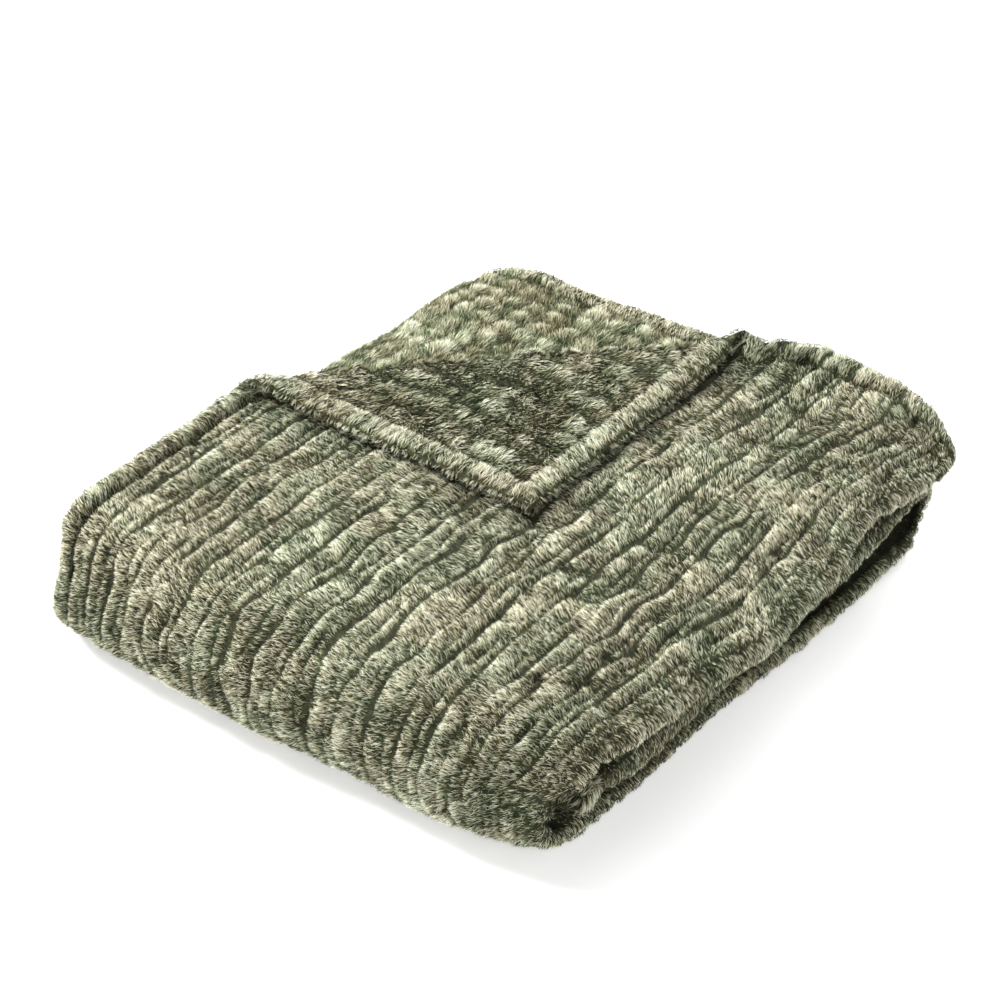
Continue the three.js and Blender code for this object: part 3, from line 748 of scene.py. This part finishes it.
# Tufts: blades lean together in cells of about two square millimetres
TUFT_S, TUFT_T = 2.0, 1.1
tuft_i, tuft_j = np.floor(blade_s / TUFT_S), np.floor(blade_t / TUFT_T)
best = np.full(count, 1e9)
tuft_ds, tuft_dt = np.zeros(count), np.zeros(count)
tuft_a, tuft_b = np.zeros(count), np.zeros(count)
for di in (-1, 0, 1):
    for dj in (-1, 0, 1):
        i, j = tuft_i + di, tuft_j + dj
        ds = (i + hashed(i, j, 81)) * TUFT_S - blade_s
        dt = (j + hashed(i, j, 82)) * TUFT_T - blade_t
        far = (ds / TUFT_S) ** 2 + (dt / TUFT_T) ** 2
        near = far < best
        best = np.where(near, far, best)
        tuft_ds, tuft_dt = np.where(near, ds, tuft_ds), np.where(near, dt, tuft_dt)
        tuft_a, tuft_b = np.where(near, i, tuft_a), np.where(near, j, tuft_b)

# The way the blades lie: angle is their turn from the direction across the ribs, lay how steeply they stand
swirl = clouds(blade_s / 38, blade_t / 44, 91) - 0.5
back_swirl = clouds(blade_s / 26, blade_t / 22, 92) - 0.5
angle = np.where(soft, -1.5 + 2.4 * back_swirl, math.pi + 1.3 * swirl)
angle = np.where(in_end_hem & ~in_edge_hem, -math.pi / 2 + 0.8 * swirl, angle)
from_hem_edge = np.where(in_edge_hem & (blade_s < blade_end), 0.0, math.pi / 2)
angle = np.where(turned_hem, from_hem_edge + 0.8 * swirl, angle)
nose = (blade_end < 22) & (blade_t > 600) & (blade_s > 330)
angle += 0.9 * (hashed(tuft_a, tuft_b, 83) - 0.5) + 0.3 * random.normal(size=count)

# Blade lengths in millimetres, longest on the crests
CORNER_LENGTH, UNDER_PLY_LENGTH = 5.4, 8.0
FACE_LENGTH, TURNED_HEM_LENGTH, NOSE_PILE_LENGTH = 4.4, 5.6, 9.0
LIP_SHARE = 0.78
full = np.clip(reach * 1.15, 0, 1) ** 0.7
length = np.where(nose, NOSE_PILE_LENGTH, np.where(turned_hem, TURNED_HEM_LENGTH, FACE_LENGTH))
length = np.where(soft, np.where(on_corner, CORNER_LENGTH, UNDER_PLY_LENGTH), length)
length = length * (0.8 + 0.3 * hashed(tuft_a, tuft_b, 85)) * (0.85 + 0.3 * random.random(count))
length *= lerp(np.where(soft, 0.5, 0.4), 1.0, full)
length *= np.where((blade_s > LIP_X + SIDE_X - 4) & ~soft, LIP_SHARE, 1)
lay = np.where(soft & on_corner, 0.52, 0.42) + 0.22 * (hashed(tuft_a, tuft_b, 84) - 0.5)
lay = np.clip(lay + 0.12 * random.normal(size=count), 0.12, 1.3)

# On the face no blade reaches far over the valley that it leans to, and stretches of the valleys are bare and green
PAST_VALLEY, BARE_CUT = 1.3, 0.6
rib_q = ((blade_s - HEM) / RIB_PITCH) % 1
rib_k = np.floor((blade_s - HEM) / RIB_PITCH + 0.5)
from_valley = np.minimum(rib_q, 1 - rib_q) * RIB_PITCH
from_groove = np.abs(rib_q - GROOVE) * RIB_PITCH
bare = smooth(0.42, 0.66, clouds(rib_k * 5.3, blade_t / 20, 131)) * (1 - smooth(1.1, 2.7, from_valley))
bare_groove = smooth(0.5, 0.75, clouds(rib_k * 5.3, blade_t / 24, 132)) * (1 - smooth(0.6, 1.7, from_groove))
bare = np.maximum(bare, bare_groove)
to_valley = np.where(rib_q < GROOVE, rib_q, rib_q - GROOVE) * RIB_PITCH + PAST_VALLEY
on_ribs = ~soft & (blade_s > HEM) & (blade_s < LIP_X + SIDE_X)
bare = np.where(on_ribs, bare, 0)
length = np.where(on_ribs, np.minimum(length, to_valley / np.cos(lay)), length) * (1 - BARE_CUT * bare)
flatwise = across * np.cos(angle)[:, None] + lengthwise * np.sin(angle)[:, None]
# Round the lips and on the outer side of the corner's hems the pile hangs down
slope = on_cells(plain_across, plain_across)[:, 2]
chance = hashed(tuft_a, tuft_b, 86)
hanging = (smooth(0.4, 0.8, np.abs(slope)) > chance) & (blade_s > LIP_X + SIDE_X - 45) & ~soft
flatwise = np.where(hanging[:, None], -across * np.sign(slope)[:, None], flatwise)
steep = np.sqrt(np.clip(1 - normal[:, 2] ** 2, 0, 1))
down = unit(-np.array([0.0, 0.0, 1.0]) + normal * normal[:, 2:])
falling = (smooth(0.35, 0.8, steep) > chance) & turned_hem
flatwise = np.where(falling[:, None], down, flatwise)

# Each blade from its root to its tip, drawn a little to the middle of its tuft, and the normal it is shaded with
PULL_ACROSS, PULL_ALONG = 0.35, 0.45
SOFT_HALF_WIDTH, FACE_HALF_WIDTH = 0.33, 0.29
CLOTH_SHADING, OWN_SHADING = 0.55, 0.45
direction = flatwise * np.cos(lay)[:, None] + upright * np.sin(lay)[:, None]
pull = across * (PULL_ACROSS * tuft_ds)[:, None] + lengthwise * (PULL_ALONG * tuft_dt)[:, None]
tip = root + direction * length[:, None] + pull
tip[:, 2] = np.maximum(tip[:, 2], 0.1)
direction = unit(tip - root)
tuft_tilt = np.stack([hashed(tuft_a, tuft_b, seed) - 0.5 for seed in (121, 122, 123)], 1)
side = unit(np.cross(normal, direction) + 0.25 * random.normal(size=(count, 3)) + 0.9 * tuft_tilt)
side = unit(side - direction * np.sum(side * direction, axis=1, keepdims=True))
half_width = np.where(soft, SOFT_HALF_WIDTH, FACE_HALF_WIDTH) * (0.75 + 0.5 * random.random(count))
left, right = root - side * half_width[:, None], root + side * half_width[:, None]
own_normal = unit(np.cross(direction, side))
own_normal *= np.sign(np.sum(own_normal * normal, axis=1, keepdims=True) + 1e-9)
flip = np.sum(np.cross(right - left, tip - left) * own_normal, axis=1) < 0
shading = unit(CLOTH_SHADING * normal + OWN_SHADING * own_normal)

# The colour of each blade: hue runs from dark to pale, frost makes pale streaks, warm blades are brown; the hue also
# carries painted light and shade that follow the relief
MIDDLE_HUE, FROSTED_HUE, BARE_HUE = 0.475, 0.98, 0.2
patch = clouds(blade_s / 25, blade_t / 27, 101) - 0.5
streak = clouds(blade_s / 9, blade_t / 36, 102) - 0.5
streak = np.where(soft, clouds(blade_s / 13, blade_t / 13, 104) - 0.5, streak)
frost = smooth(0.56, 0.65, clouds(blade_s / 8, blade_t / 12, 105)) * smooth(0.35, 0.6, relief)
fleck = hashed(tuft_a, tuft_b, 107)
tuft_spread = np.where(soft, np.where(on_corner, 0.7, 0.45), 0.8)
blade_spread = np.where(soft, np.where(on_corner, 0.36, 0.25), 0.58)
hue = MIDDLE_HUE + np.where(soft, 0.35, 0.5) * patch + 0.65 * streak
hue = hue + tuft_spread * (fleck - 0.5) + blade_spread * random.normal(size=count)
# Painted light: the pile of the turned corner is paler near its fold, where the bend is in shade
near_fold = 1 - smooth(14, 60, on_cells(past_fold, past_fold))
hue = hue + np.where(soft, np.where(on_corner, 0.07 + 0.16 * near_fold, 0.08), 0.1 * turned_hem)
hue = lerp(hue, FROSTED_HUE, 0.95 * frost * smooth(0.05, 0.4, fleck))
# Painted shade: on the face, the lower a blade stands in the relief (in a valley, a break or beside a hem seam), the
# darker its colour and the less pale its tip
crest = np.clip(relief * 1.5, 0, 1)
# Painted light and shade: on the back the blades are paler on top of the lumps and darker between them
back_hue = hue + np.where(on_corner, 1.05, 0.7) * (relief - 0.38) - 0.03
hue = np.where(soft, back_hue, hue - 0.45 * (1 - crest))
# Painted light and shade: on the hems the blades are paler on the lumps and darker in the creases between them
hue = hue + 0.35 * nose + 0.5 * in_any_hem * (lump - 0.45)
hue = lerp(hue, BARE_HUE + 0.1 * (fleck - 0.5), 0.85 * bare)
warm = 0.5 + 2.2 * (clouds(blade_s / 30, blade_t / 24, 111) - 0.5) + 0.35 * (relief - 0.5) - bare
warm = warm > 0.15 + 0.7 * hashed(tuft_a, tuft_b, 112)
# In the map the green blades take the left half and the brown ones the right half
hue = np.clip(hue, 0.02, 0.98) * 0.48 + 0.01 + 0.5 * warm
# Painted shade: the tips grow less pale towards the valleys
top_level = np.clip(lerp(0.45, 1.0, crest) * (0.72 + 0.28 * hashed(tuft_a, tuft_b, 109)), 0, 1)

pile_finish = pile_material()
order = random.permutation(count)
for n in range(PILE_PIECES):
    part = order[n * BLADES_EACH : (n + 1) * BLADES_EACH]
    size = len(part)
    first = np.where(flip[part, None], right[part], left[part])
    second = np.where(flip[part, None], left[part], right[part])
    points = np.stack([first, second, tip[part]], axis=1).reshape(-1, 3) * MM
    mesh = bpy.data.meshes.new(f"pile_{n + 1}")
    mesh.vertices.add(3 * size)
    mesh.vertices.foreach_set("co", points.astype(np.float32).ravel())
    mesh.loops.add(3 * size)
    mesh.loops.foreach_set("vertex_index", np.arange(3 * size, dtype=np.int32))
    mesh.polygons.add(size)
    mesh.polygons.foreach_set("loop_start", np.arange(0, 3 * size, 3, dtype=np.int32))
    mesh.polygons.foreach_set("use_smooth", np.ones(size, bool))
    layer = mesh.uv_layers.new(name="OFBake")
    u, v = hue[part], top_level[part]
    uv = np.zeros((size, 3, 2))
    uv[:, 0] = np.stack([u - 0.004, 0 * u + 0.01], 1)
    uv[:, 1] = np.stack([u + 0.004, 0 * u + 0.01], 1)
    uv[:, 2] = np.stack([u, 0.01 + 0.98 * v], 1)
    layer.data.foreach_set("uv", uv.astype(np.float32).ravel())
    mesh.update()
    mesh.normals_split_custom_set_from_vertices(np.repeat(shading[part], 3, axis=0))
    link(f"pile_{n + 1}", mesh, pile_finish)

# ---------------------------------------------------------------- the studio

FLOOR_REACH = 9
WORLD_STRENGTH = 0.4
LIGHT_TARGET = (0, 0, 0.05)
# Name, place, size and power of each soft light
LIGHTS = [
    ("key", (-1.3, -0.65, 1.75), 0.8, 82),
    ("right", (1.7, -0.9, 1.1), 1.2, 10),
    ("back", (0.2, 1.6, 1.3), 1.0, 22),
]
CAMERA_AZIMUTH, CAMERA_ELEVATION, CAMERA_DISTANCE = 37.13, 36.17, 1.66492
CAMERA_TARGET = (-0.03421, 0.01295, 0.05)
CAMERA_LENS, CAMERA_SENSOR = 90, 36


def floor():
    mesh = bpy.data.meshes.new("floor")
    far = FLOOR_REACH
    mesh.from_pydata([(-far, -far, 0), (far, -far, 0), (far, far, 0), (-far, far, 0)], [], [(0, 1, 2, 3)])
    piece = bpy.data.objects.new("floor", mesh)
    bpy.context.scene.collection.objects.link(piece)
    material, _, shader = new_material("pale floor")
    shader.inputs["Base Color"].default_value = (0.9, 0.9, 0.9, 1)
    shader.inputs["Roughness"].default_value = 0.9
    shader.inputs["Emission Color"].default_value = (1, 1, 1, 1)
    shader.inputs["Emission Strength"].default_value = 0.5
    mesh.materials.append(material)


def area_light(name, place, size, power):
    light = bpy.data.lights.new(name, "AREA")
    light.shape = "DISK"
    light.size = size
    light.energy = power
    lamp = bpy.data.objects.new(name, light)
    lamp.location = place
    lamp.rotation_euler = (Vector(LIGHT_TARGET) - Vector(place)).to_track_quat("-Z", "Y").to_euler()
    bpy.context.scene.collection.objects.link(lamp)


def world_light(strength):
    world = bpy.data.worlds.new("studio")
    world.use_nodes = True
    background = world.node_tree.nodes["Background"]
    background.inputs["Color"].default_value = (1, 1, 1, 1)
    background.inputs["Strength"].default_value = strength
    bpy.context.scene.world = world


def camera():
    azimuth, elevation = math.radians(CAMERA_AZIMUTH), math.radians(CAMERA_ELEVATION)
    back = Vector(
        (
            math.sin(azimuth) * math.cos(elevation),
            -math.cos(azimuth) * math.cos(elevation),
            math.sin(elevation),
        )
    )
    data = bpy.data.cameras.new("camera")
    data.lens = CAMERA_LENS
    data.sensor_width = CAMERA_SENSOR
    item = bpy.data.objects.new("camera", data)
    item.location = Vector(CAMERA_TARGET) + back * CAMERA_DISTANCE
    item.rotation_euler = (-back).to_track_quat("-Z", "Y").to_euler()
    bpy.context.scene.collection.objects.link(item)
    bpy.context.scene.camera = item


floor()
world_light(WORLD_STRENGTH)
for light in LIGHTS:
    area_light(*light)
camera()
bpy.context.scene.view_settings.view_transform = "Standard"
